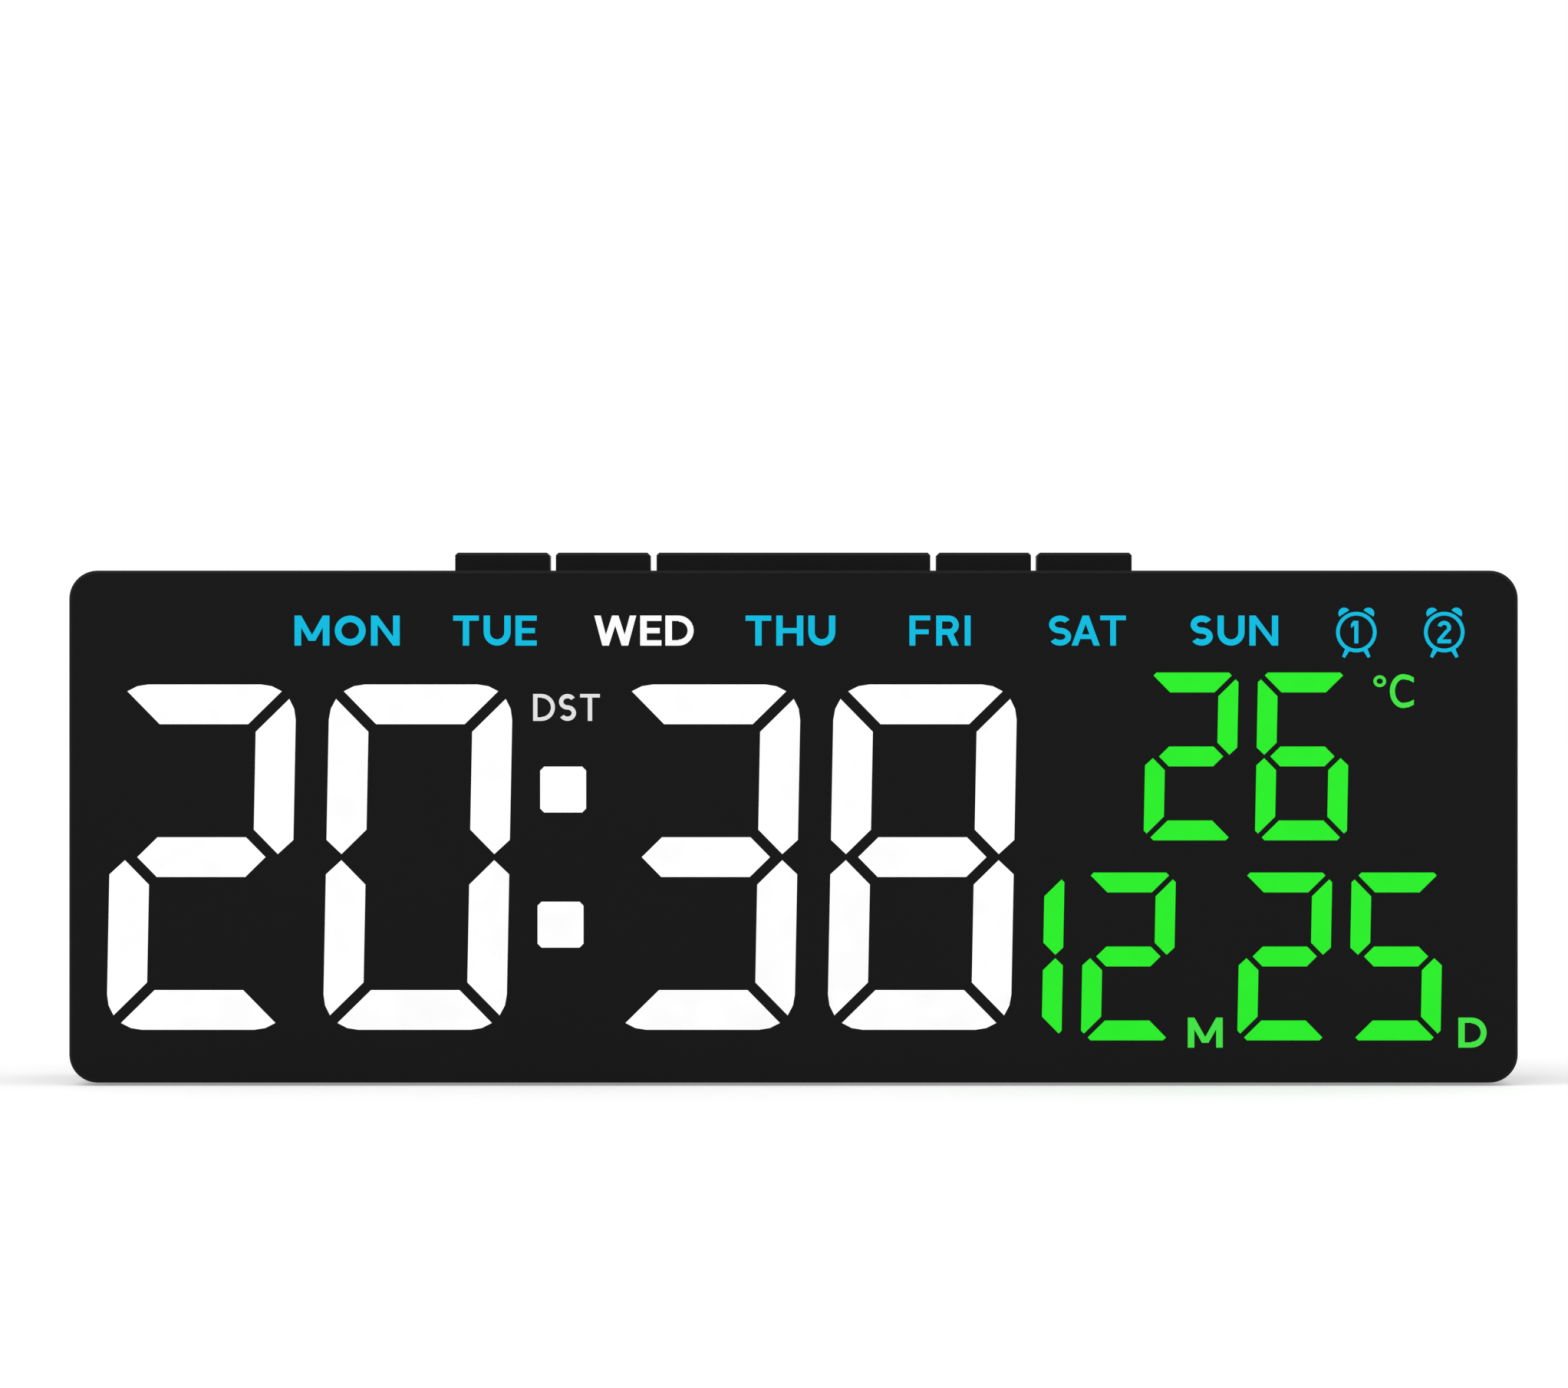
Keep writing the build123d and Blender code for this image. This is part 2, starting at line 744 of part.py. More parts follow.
with BuildPart() as rear_housing:
    with BuildSketch(at_depth(body_depth)):
        body_outline(0)
    extrude(amount=body_depth - split_depth)
    fillet(rear_housing.faces().sort_by(Axis.Y)[-1].edges(), rear_round)
    chamfer(rear_housing.faces().sort_by(Axis.Y)[0].edges(), seam_edge)
    with BuildSketch(at_depth(inner_back)):
        room_outline(wall)
    extrude(amount=inner_back - split_depth, mode=Mode.SUBTRACT)
    with BuildSketch(at_depth(split_depth)):
        body_outline(wall - tongue_room + seat_gap)
        room_outline(wall, mode=Mode.SUBTRACT)
    extrude(amount=tongue_height)
    # Screw posts reach through the tongue to the front housing's posts
    with BuildSketch(at_depth(inner_back)):
        with Locations(*post_spots):
            Rectangle(post_size - 2 * seat_gap, post_size - 2 * seat_gap)
    extrude(amount=inner_back - split_depth + rebate_depth)
    with BuildSketch(at_depth(inner_back)):
        with Locations(*post_spots):
            Rectangle(post_size, post_size)
    extrude(amount=inner_back - split_depth)
    # Battery tray with its mouth, cradle troughs and contact slots
    with BuildSketch(at_depth(inner_back)):
        with Locations((bay_x, bay_z)):
            Rectangle(opening_length + 2 * bay_ledge, opening_rise + 2 * bay_ledge)
    extrude(amount=inner_back - tray_front)
    with BuildSketch(at_depth(body_depth)):
        with Locations((bay_x, bay_z)):
            Rectangle(opening_length, opening_rise)
    extrude(amount=body_depth - door_seat, mode=Mode.SUBTRACT)
    with BuildSketch(at_depth(door_seat)):
        with Locations((bay_x, bay_z)):
            Rectangle(bay_length, bay_rise)
    extrude(amount=door_seat - tray_front - cradle_rise, mode=Mode.SUBTRACT)
    with BuildSketch(Plane.YZ.offset(bay_x)):
        with Locations(*[(front_y + cell_axis, z) for z in cell_heights]):
            Circle(trough_radius)
    extrude(amount=bay_length / 2, both=True, mode=Mode.SUBTRACT)
    with BuildSketch(at_depth(door_seat)):
        slot_shift = (bay_length - contact_slot) / 2
        with Locations((bay_x - slot_shift, bay_z), (bay_x + slot_shift, bay_z)):
            Rectangle(contact_slot, bay_rise)
    extrude(amount=door_seat - tray_front - bay_floor, mode=Mode.SUBTRACT)
    with BuildSketch(at_depth(tray_front + bay_floor)):
        with Locations(*tail_spots):
            Rectangle(contact_thickness + 2 * seat_gap, contact_tail + 2 * seat_gap)
    extrude(amount=bay_floor, mode=Mode.SUBTRACT)
    # Notches for the door's hooks, and a scoop for a fingertip at its latch
    with BuildSketch(at_depth(door_seat)):
        with Locations(*[(x, opening_top_z) for x in hook_spots]):
            Rectangle(hook_width + 2 * fit_gap, hook_reach + fit_gap, align=(Align.CENTER, Align.MAX))
    extrude(amount=door_seat - hook_room_front, mode=Mode.SUBTRACT)
    with BuildSketch(at_depth(inner_back)):
        with Locations(*[(x, opening_top_z) for x in hook_spots]):
            Rectangle(hook_width + 2 * fit_gap, hook_reach + fit_gap, align=(Align.CENTER, Align.MIN))
    extrude(amount=inner_back - hook_room_front, mode=Mode.SUBTRACT)
    with BuildSketch(at_depth(body_depth)):
        with Locations((bay_x, opening_base_z + finger_scoop_radius - finger_scoop_reach)):
            Circle(finger_scoop_radius)
        with Locations((bay_x, opening_base_z)):
            Rectangle(opening_length, opening_rise, align=(Align.CENTER, Align.MIN), mode=Mode.SUBTRACT)
    extrude(amount=finger_scoop_depth, mode=Mode.SUBTRACT)
    # Ring that holds the buzzer, and the sound slots behind it, in a round field
    with BuildSketch(at_depth(inner_back)):
        with Locations((buzzer_x, base_z + buzzer_height)):
            RegularPolygon(buzzer_radius + seat_gap + ring_thickness, small_sides, major_radius=False)
            RegularPolygon(buzzer_radius + seat_gap, small_sides, major_radius=False, mode=Mode.SUBTRACT)
    extrude(amount=ring_height)
    with BuildSketch(at_depth(body_depth)):
        for place in range(sound_slot_count):
            rise = (place - (sound_slot_count - 1) / 2) * sound_slot_pitch
            with Locations((buzzer_x, base_z + buzzer_height + rise)):
                Rectangle(2 * math.sqrt(sound_radius**2 - rise**2), sound_slot_width)
    extrude(amount=wall, mode=Mode.SUBTRACT)
    # Shelf under the rear board, with the socket's opening above it
    with BuildSketch(Plane.XY.offset(rear_board_base_z)):
        with Locations((socket_x, front_y + inner_back - shelf_length / 2)):
            Rectangle(rear_board_width, shelf_length)
    extrude(amount=-shelf_thickness)
    with BuildSketch(Plane.XY.offset(rear_board_base_z)):
        with Locations(*rear_screw_spots):
            RegularPolygon(small_screw_radius + thread_gap, small_sides)
    extrude(amount=-shelf_thickness, mode=Mode.SUBTRACT)
    with BuildSketch(at_depth(body_depth)):
        with Locations((socket_x, base_z + socket_height)):
            SlotOverall(socket_width + 2 * seat_gap, socket_tall + 2 * seat_gap)
    extrude(amount=wall, mode=Mode.SUBTRACT)
    with BuildSketch(at_depth(body_depth)):
        with GridLocations(0, vent_pitch, 1, vent_count):
            with Locations((socket_x, base_z + vent_height)):
                Rectangle(vent_width, vent_slot)
    extrude(amount=wall, mode=Mode.SUBTRACT)
    # Screw wells
    with BuildSketch(at_depth(body_depth)):
        with Locations(*post_spots):
            RegularPolygon(screw_radius + seat_gap, small_sides)
    extrude(amount=body_depth - split_depth + rebate_depth, mode=Mode.SUBTRACT)
    with BuildSketch(at_depth(body_depth)):
        with Locations(*post_spots):
            RegularPolygon(screw_head_radius + seat_gap, 2 * small_sides, major_radius=False)
    extrude(amount=screw_well, mode=Mode.SUBTRACT)
    with BuildSketch(Plane.XY.offset(base_z)):
        add(pad_faces(rear_pad_length, rear_pad_y, seat_gap))
    extrude(amount=pad_recess, mode=Mode.SUBTRACT)
finish(rear_housing, "rear_housing")

with BuildPart() as housing_screws:
    with BuildSketch(at_depth(body_depth - screw_well)):
        with Locations(*post_spots):
            RegularPolygon(screw_head_radius, small_sides)
    extrude(amount=-screw_head_height, taper=small_head_taper)
    with BuildSketch(at_depth(body_depth - screw_well)):
        with Locations(*post_spots):
            RegularPolygon(screw_radius, small_sides)
    extrude(amount=screw_length)
    with BuildSketch(at_depth(body_depth - screw_well + screw_head_height)):
        with Locations(*post_spots):
            Rectangle(screw_cross[0], screw_cross[1])
            Rectangle(screw_cross[1], screw_cross[0])
    extrude(amount=screw_cross[2], mode=Mode.SUBTRACT)
finish(housing_screws, "housing_screws")

with BuildPart() as foot_pads:
    with BuildSketch(Plane.XY):
        add(pad_faces(pad_length, front_pad_y, 0) + pad_faces(rear_pad_length, rear_pad_y, 0))
    extrude(amount=pad_stand + pad_recess)
finish(foot_pads, "foot_pads")

# Battery door
door_length = opening_length - 2 * door_gap
door_rise = opening_rise - 2 * door_gap
door_top_z = opening_top_z - door_gap
door_base_z = opening_base_z + door_gap

with BuildPart() as battery_door:
    with BuildSketch(at_depth(body_depth)):
        with Locations((bay_x, bay_z)):
            Rectangle(door_length, door_rise)
    extrude(amount=door_thickness)
    chamfer(battery_door.edges().filter_by(Axis.Y), door_corner)
    with BuildSketch(at_depth(body_depth - door_thickness)):
        with Locations(*[(x, door_top_z) for x in hook_spots]):
            Rectangle(hook_width, hook_reach, align=(Align.CENTER, Align.MAX))
    extrude(amount=body_depth - door_thickness - hook_front)
    with BuildSketch(at_depth(hook_back)):
        with Locations(*[(x, door_top_z - hook_reach) for x in hook_spots]):
            Rectangle(hook_width, 2 * hook_reach + door_gap, align=(Align.CENTER, Align.MIN))
    extrude(amount=hook_thickness)
    # Latch tongue: two slits leave it free to bend, and grooves give grip
    with BuildSketch(at_depth(body_depth)):
        slit_shift = (latch_width + latch_slit) / 2
        with Locations((bay_x - slit_shift, door_base_z), (bay_x + slit_shift, door_base_z)):
            Rectangle(latch_slit, latch_length, align=(Align.CENTER, Align.MIN))
    extrude(amount=door_thickness, mode=Mode.SUBTRACT)
    with BuildSketch(at_depth(body_depth)):
        with Locations((bay_x, door_base_z + latch_length / 2)):
            with GridLocations(0, grip_pitch, 1, grip_count):
                Rectangle(latch_width - 2 * grip_width, grip_width)
    extrude(amount=grip_depth, mode=Mode.SUBTRACT)
    with BuildSketch(Plane.YZ.offset(bay_x)):
        with Locations((front_y + body_depth - door_thickness / 2, door_base_z)):
            Ellipse(door_thickness / 4, latch_nib)
    extrude(amount=latch_width / 4, both=True)
finish(battery_door, "battery_door")

# Cells lie head to tail, so that their contacts alternate
with BuildPart() as battery_cells:
    for place, z in enumerate(cell_heights):
        head = 1 if place % 2 == 0 else -1
        start_x = bay_x - head * (bay_length / 2 - spring_room)
        with BuildSketch(Plane(origin=(start_x, front_y + cell_axis, z), z_dir=(head, 0, 0))):
            Circle(cell_radius)
        extrude(amount=cell_length - cell_nub_length)
        nub_x = start_x + head * (cell_length - cell_nub_length)
        with BuildSketch(Plane(origin=(nub_x, front_y + cell_axis, z), z_dir=(head, 0, 0))):
            RegularPolygon(cell_nub_radius, small_sides)
        extrude(amount=cell_nub_length)
finish(battery_cells, "battery_cells")

tail_tip = tray_front - contact_tail_reach

with BuildPart() as battery_contacts:
    for side in (-1, 1):
        end_x = bay_x + side * bay_length / 2
        inward = Plane(origin=(end_x, front_y + cell_axis, 0), x_dir=(0, 1, 0), z_dir=(-side, 0, 0))
        for place, z in enumerate(cell_heights):
            head = 1 if place % 2 == 0 else -1
            plate_z = z * inward.y_dir.Z
            with BuildSketch(inward):
                with Locations((0, plate_z)):
                    Rectangle(contact_width, contact_width)
            extrude(amount=contact_thickness)
            if head == side:
                with BuildSketch(inward.offset(contact_thickness)):
                    with Locations((0, plate_z)):
                        RegularPolygon(cell_nub_radius, small_sides)
                extrude(amount=button_room - contact_thickness - seat_gap)
            else:
                tip = end_x - side * (spring_room - seat_gap)
                foot = end_x - side * contact_thickness
                with BuildSketch(Plane.XZ.offset(-(front_y + cell_axis))):
                    for inset, mode in ((0, Mode.ADD), (contact_thickness, Mode.SUBTRACT)):
                        rise = leaf_height / 2 - 2 * inset
                        flat = leaf_flat / 2 - inset
                        crest = tip + side * inset
                        with BuildLine():
                            Polyline(
                                (foot, z - rise),
                                (crest, z - flat),
                                (crest, z + flat),
                                (foot, z + rise),
                                close=True,
                            )
                        make_face(mode=mode)
                extrude(amount=leaf_width / 2, both=True)
        # The end contact that no bridge joins has a tail through the bay's floor
        tail_z = (cell_heights[0] if side > 0 else cell_heights[-1]) * inward.y_dir.Z
        with BuildSketch(inward):
            with Locations((0, tail_z)):
                Rectangle(cell_axis - tail_tip, contact_tail, align=(Align.MAX, Align.CENTER))
        extrude(amount=contact_thickness)
        # Bridges between the paired contacts of this end
        pair = cell_heights[:2] if side < 0 else cell_heights[1:3]
        bridge_z = sum(pair) / 2 * inward.y_dir.Z
        with BuildSketch(inward):
            with Locations((0, bridge_z)):
                Rectangle(contact_width / 2, cell_pitch)
        extrude(amount=contact_thickness)
finish(battery_contacts, "battery_contacts")

# Rear board with the power socket and the temperature sensor
with BuildPart() as rear_board:
    with BuildSketch(Plane.XY.offset(rear_board_base_z)):
        with Locations((socket_x, rear_board_y)):
            Rectangle(rear_board_width, rear_board_length)
        with Locations(*rear_screw_spots):
            RegularPolygon(small_screw_radius + seat_gap, small_sides, mode=Mode.SUBTRACT)
    extrude(amount=rear_board_thickness)
finish(rear_board, "rear_board")

rear_screw_plane = Plane.XY.offset(rear_board_z)
small_screws(rear_screw_plane, rear_screw_spots, "rear_board_screws")

socket_mouth = body_depth - socket_recess
socket_front = socket_mouth - socket_depth

with BuildPart() as power_socket:
    with BuildSketch(at_depth(socket_mouth)):
        with Locations((socket_x, base_z + socket_height)):
            SlotOverall(socket_width, socket_tall)
    extrude(amount=socket_depth)
    with BuildSketch(at_depth(socket_mouth)):
        with Locations((socket_x, base_z + socket_height)):
            SlotOverall(socket_width - 2 * socket_shell, socket_tall - 2 * socket_shell)
            Rectangle(socket_tongue[0], socket_tongue[1], mode=Mode.SUBTRACT)
    extrude(amount=socket_depth - socket_shell * 3, mode=Mode.SUBTRACT)
    with BuildSketch(at_depth(socket_mouth)):
        with Locations((socket_x, base_z + socket_height)):
            Rectangle(socket_tongue[0], socket_tongue[1])
    extrude(amount=socket_depth - socket_shell * 3 - socket_tongue[2], mode=Mode.SUBTRACT)
finish(power_socket, "power_socket")

bead_x = socket_x
bead_y = front_y + socket_front - bead_radius - fit_gap
bead_z = base_z + vent_height

with BuildPart() as temperature_sensor:
    with BuildSketch(Plane.XY.offset(bead_z - bead_radius)):
        with Locations((bead_x, bead_y)):
            RegularPolygon(bead_radius, small_sides)
    extrude(amount=2 * bead_radius)
    chamfer(temperature_sensor.edges().group_by(Axis.Z)[0], bead_radius / 2)
    chamfer(temperature_sensor.edges().group_by(Axis.Z)[-1], bead_radius / 2)
    with BuildSketch(Plane.XY.offset(rear_board_z)):
        with Locations((bead_x - bead_leg_pitch / 2, bead_y), (bead_x + bead_leg_pitch / 2, bead_y)):
            RegularPolygon(bead_leg_radius, small_sides)
    extrude(amount=bead_z - rear_board_z)
finish(temperature_sensor, "temperature_sensor")

# Buzzer in its ring
with BuildPart() as buzzer:
    with BuildSketch(at_depth(inner_back - seat_gap)):
        with Locations((buzzer_x, base_z + buzzer_height)):
            Circle(buzzer_radius)
    extrude(amount=buzzer_thickness)
finish(buzzer, "buzzer")

# Parts on the back of the display board
chip_z = base_z + clock_chip_height

with BuildPart() as clock_chip_part:
    with BuildSketch(at_depth(board_back)):
        with Locations((clock_chip_x, chip_z)):
            Rectangle(clock_chip[0], clock_chip[1])
    extrude(amount=-clock_chip[2])
    chamfer(clock_chip_part.faces().sort_by(Axis.Y)[-1].edges(), chip_edge)
finish(clock_chip_part, "clock_chip")

crystal_x = clock_chip_x + clock_chip[0] / 2 + 2 * crystal_radius
crystal_y = front_y + board_back + crystal_radius

with BuildPart() as quartz_crystal:
    with BuildSketch(Plane.XY.offset(chip_z - crystal_length / 2)):
        with Locations((crystal_x, crystal_y)):
            RegularPolygon(crystal_radius, small_sides, major_radius=False, rotation=180 / small_sides)
    extrude(amount=crystal_length)
finish(quartz_crystal, "quartz_crystal")

# Ribbon from the display board up to the key board, with a connector at each end
ribbon_z = key_board_base_z - ribbon_drop
connector_base_z = key_board_base_z - connector_size[2]

with BuildPart() as ribbon_connectors:
    with BuildSketch(at_depth(board_back)):
        with Locations((ribbon_x, ribbon_z)):
            Rectangle(connector_size[0], connector_size[1])
    extrude(amount=-connector_size[2])
    with BuildSketch(Plane.XY.offset(key_board_base_z)):
        with Locations((ribbon_x, key_middle_y)):
            Rectangle(connector_size[0], connector_size[1])
    extrude(amount=-connector_size[2])
finish(ribbon_connectors, "ribbon_connectors")

ribbon_start = (ribbon_x, front_y + board_back + connector_size[2], ribbon_z)
ribbon_corner = (ribbon_x, key_middle_y, ribbon_z)
ribbon_end = (ribbon_x, key_middle_y, connector_base_z)

with BuildPart() as key_ribbon:
    with BuildLine() as ribbon_path:
        FilletPolyline(ribbon_start, ribbon_corner, ribbon_end, radius=ribbon_bend)
    with BuildSketch(Plane(origin=ribbon_start, x_dir=(1, 0, 0), z_dir=(0, 1, 0))):
        Rectangle(ribbon_width, ribbon_thickness)
    sweep()
finish(key_ribbon, "key_ribbon")


# Straight stiff leads to the display board
rear_board_front = rear_board_y - rear_board_length / 2 - front_y
lead_starts = {
    "battery_leads": [(x, tail_tip, z) for x, z in tail_spots],
    "buzzer_leads": [
        (buzzer_x, inner_back - seat_gap - buzzer_thickness, base_z + buzzer_height + rise)
        for rise in (-buzzer_pin_pitch / 2, buzzer_pin_pitch / 2)
    ],
    "power_leads": [
        (socket_x + shift, rear_board_front, rear_board_z - rear_board_thickness / 2)
        for shift in (-rear_lead_pitch / 2, rear_lead_pitch / 2)
    ],
}

for name, starts in lead_starts.items():
    with BuildPart() as leads:
        for x, depth, z in starts:
            with BuildSketch(at_depth(depth)):
                with Locations((x, z)):
                    RegularPolygon(wire_radius, small_sides)
            extrude(amount=depth - board_back)
    finish(leads, name)
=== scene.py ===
"""Looks of the digital alarm clock: its finishes, its lit words and signs, the marks on its keys, its back
and its cells, and the floor, light and camera. The CAD frame gives the shapes and sizes."""

import json
import math

import bpy
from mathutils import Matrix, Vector, geometry


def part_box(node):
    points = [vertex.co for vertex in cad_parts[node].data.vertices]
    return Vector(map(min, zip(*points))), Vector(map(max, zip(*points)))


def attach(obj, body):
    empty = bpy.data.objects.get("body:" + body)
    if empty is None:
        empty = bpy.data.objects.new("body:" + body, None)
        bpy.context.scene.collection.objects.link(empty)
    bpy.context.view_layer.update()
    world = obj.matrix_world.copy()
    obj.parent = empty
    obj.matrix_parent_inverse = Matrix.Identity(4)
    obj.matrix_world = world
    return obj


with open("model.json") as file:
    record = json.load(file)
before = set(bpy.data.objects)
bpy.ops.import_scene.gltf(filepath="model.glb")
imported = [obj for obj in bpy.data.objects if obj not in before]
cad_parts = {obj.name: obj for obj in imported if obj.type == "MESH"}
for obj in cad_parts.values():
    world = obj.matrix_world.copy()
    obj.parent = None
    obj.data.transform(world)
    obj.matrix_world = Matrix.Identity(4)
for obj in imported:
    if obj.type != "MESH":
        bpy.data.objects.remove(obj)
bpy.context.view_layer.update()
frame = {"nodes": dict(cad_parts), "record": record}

# Lengths are in millimetres, as the face is measured, and Blender's own are in metres
MM = 0.001


def box(node):
    """A node's lowest and highest corners at rest, in millimetres."""
    return [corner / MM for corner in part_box(node)]


face_low, face_high = box("face_panel")
face_front = face_low.y
face_left = face_low.x
face_right = face_high.x
face_base = face_low.z
face_top = face_high.z

# Words and signs are thin plates. Each place on the face is that of a middle.
plate_thickness = 0.02
cap_height = 3.4
weekday_from_top = 6.8
first_weekday_from_left = 31.4
last_weekday_from_right = 32.1
# Each weekday with its width, its stroke and how far it is right of its even place
weekdays = [
    ("MON", 11.9, 0.75, 0.07),
    ("TUE", 9.45, 0.71, 0.05),
    ("WED", 11.25, 0.74, 0.17),
    ("THU", 10.15, 0.72, 0.0),
    ("FRI", 7.05, 0.66, 0.25),
    ("SAT", 8.7, 0.64, 0.12),
    ("SUN", 9.9, 0.70, 0.0),
]
today = "WED"

summer_middle = (-25.7, face_top - 15.5)
summer_width = 7.55
summer_height = 3.05
summer_stroke = 0.49
summer_squeeze = 0.86

degree_middle = (face_right - 15.65, face_top - 12.53)
degree_radii = (0.72, 0.67)
degree_stroke = 0.36
celsius_middle = (face_right - 13.15, face_top - 13.65)
celsius_height = 3.85
celsius_stroke = 0.58

date_z = face_base + 5.68
# The letters after the month and the day, each with its place from left to right and its stroke
date_letters = {
    "month_word": ("M", 46.6, 0.74),
    "day_word": ("D", 76.85, 0.72),
}

# A bell clock is a ring with two bells and two feet
clock_radius = 2.3
clock_line = 0.42
bell_radius = 0.66
bell_from_middle = clock_radius + 0.22
bell_lean = math.radians(33)
bell_steps = 12
foot_angle = math.radians(-63)
# How far out a foot starts and ends, and half its width there
foot_ends = [(clock_radius - 0.2, 0.28), (clock_radius + 0.9, 0.17)]

alarm_from_top = 6.97
figure_height = 2.55
figure_stroke = 0.45


# Nodes and objects
def feed(node, inputs):
    """Sets inputs of a node, each to a value or to another node's output."""
    for name, value in inputs.items():
        if isinstance(value, bpy.types.NodeSocket):
            node.id_data.links.new(value, node.inputs[name])
        else:
            node.inputs[name].default_value = value


def new_node(tree, kind, inputs, **settings):
    node = tree.nodes.new(kind)
    for name, value in settings.items():
        setattr(node, name, value)
    feed(node, inputs)
    return node


def new_object(name, data):
    thing = bpy.data.objects.new(name, data)
    bpy.context.scene.collection.objects.link(thing)
    return thing


# Finishes
class Finish:
    """A material under construction, and short ways to add nodes to it. Sizes are in millimetres."""

    def __init__(self, name, roughness, specular=0.5, metallic=0.0):
        self.material = bpy.data.materials.new(name)
        self.material.use_nodes = True
        self.shader = self.material.node_tree.nodes["Principled BSDF"]
        self.roughness = roughness
        feed(self.shader, {"Roughness": roughness, "Specular IOR Level": specular, "Metallic": metallic})
        self.place = self.add("ShaderNodeTexCoord", {}).outputs["Object"]

    def add(self, kind, inputs, **settings):
        return new_node(self.material.node_tree, kind, inputs, **settings)

    def noise(self, size, detail=2.0):
        """Noise with spots of about a size."""
        inputs = {"Vector": self.place, "Scale": 1 / (size * MM), "Detail": detail}
        return self.add("ShaderNodeTexNoise", inputs).outputs["Fac"]

    def spread(self, noise, low, high):
        """Maps a noise, which lies mostly between 0.3 and 0.7, to a range of values."""
        inputs = {"Value": noise, "From Min": 0.3, "From Max": 0.7, "To Min": low, "To Max": high}
        return self.add("ShaderNodeMapRange", inputs).outputs["Result"]

    def blend(self, factor, first, second):
        """A colour between two."""
        node = self.add("ShaderNodeMix", {"Factor": factor}, data_type="RGBA")
        ends = [socket for socket in node.inputs if socket.type == "RGBA"]
        for socket, colour in zip(ends, (first, second)):
            socket.default_value = (*colour, 1)
        return [socket for socket in node.outputs if socket.type == "RGBA"][0]

    def mottle(self, colour, share, size):
        """The colour, darker and lighter by a share in soft spots."""
        low = tuple(c * (1 - share) for c in colour)
        high = tuple(min(c * (1 + share), 1) for c in colour)
        return self.blend(self.spread(self.noise(size), 0, 1), low, high)

    def colour(self, output):
        feed(self.shader, {"Base Color": output})

    def uneven_gloss(self, less, more, size):
        """Roughness from less to more than the plain one, in soft spots."""
        uneven = self.spread(self.noise(size), self.roughness - less, self.roughness + more)
        feed(self.shader, {"Roughness": uneven})

    def grain(self, size, depth):
        """Fine relief: spots of a size and a depth."""
        bump = self.add("ShaderNodeBump", {"Distance": depth * MM, "Height": self.noise(size)})
        feed(self.shader, {"Normal": bump.outputs["Normal"]})


def plastic(name, colour, roughness, specular, grain_size, grain_depth, share=0.06, patch=2.5):
    """Moulded plastic with fine grain, and with slightly uneven colour and gloss in patches."""
    finish = Finish(name, roughness, specular)
    finish.colour(finish.mottle(colour, share, patch))
    finish.uneven_gloss(0.03, 0.03, patch / 2)
    finish.grain(grain_size, grain_depth)
    return finish.material


def metal(name, colour, roughness):
    """Plated metal with slightly uneven colour and gloss."""
    finish = Finish(name, roughness, metallic=1.0)
    finish.colour(finish.mottle(colour, 0.08, 2.0))
    finish.uneven_gloss(0.08, 0.1, 0.9)
    finish.grain(0.3, 0.004)
    return finish.material


def lit(name, base, light, strength):
    """A milky light window: its own colour, and a light that is a little uneven behind the diffuser."""
    finish = Finish(name, 0.45, 0.06)
    finish.colour(finish.mottle(base, 0.04, 3.0))
    dimmer = tuple(c * 0.985 for c in light)
    soft_spots = finish.spread(finish.noise(5.0, detail=1.0), 0, 1)
    uneven = finish.blend(soft_spots, dimmer, light)
    feed(finish.shader, {"Emission Color": uneven, "Emission Strength": strength})
    finish.uneven_gloss(0.05, 0.05, 1.5)
    return finish.material


def lit_word(name, colour, strength):
    """The finish of a lit word: light of its colour, over a darker paint of it."""
    paint = tuple(c * 0.45 for c in colour)
    return lit(name, paint, colour, strength)


def circuit_board():
    """Green solder mask, with rows of copper runs that show paler through it in some patches."""
    finish = Finish("solder_mask", 0.35)
    # Turned half way, so that the rows cross upright boards and level ones alike
    turned = {"Vector": finish.place, "Rotation": (math.radians(45), 0, 0)}
    place = finish.add("ShaderNodeMapping", turned).outputs["Vector"]
    # The runs are the joints between long flat bricks
    bricks = {"Vector": place, "Scale": 1 / MM, "Brick Width": 17.0, "Row Height": 0.9, "Mortar Size": 0.11}
    runs = finish.add("ShaderNodeTexBrick", bricks, offset=0.37)
    # Each patch has a value of its own, and those above a limit have runs
    spots = {"Vector": place, "Scale": 1 / (9.0 * MM)}
    patches = finish.add("ShaderNodeTexVoronoi", spots, voronoi_dimensions="2D", distance="CHEBYCHEV")
    limit = 0.55
    chosen = finish.add("ShaderNodeMath", {0: patches.outputs["Color"], 1: limit}, operation="GREATER_THAN")
    both = {0: runs.outputs["Fac"], 1: chosen.outputs[0]}
    shown = finish.add("ShaderNodeMath", both, operation="MULTIPLY")
    mask = (0.012, 0.10, 0.036)
    covered_copper = (0.03, 0.165, 0.056)
    finish.colour(finish.blend(shown.outputs[0], mask, covered_copper))
    finish.uneven_gloss(0.05, 0.07, 2.0)
    finish.grain(0.8, 0.01)
    return finish.material


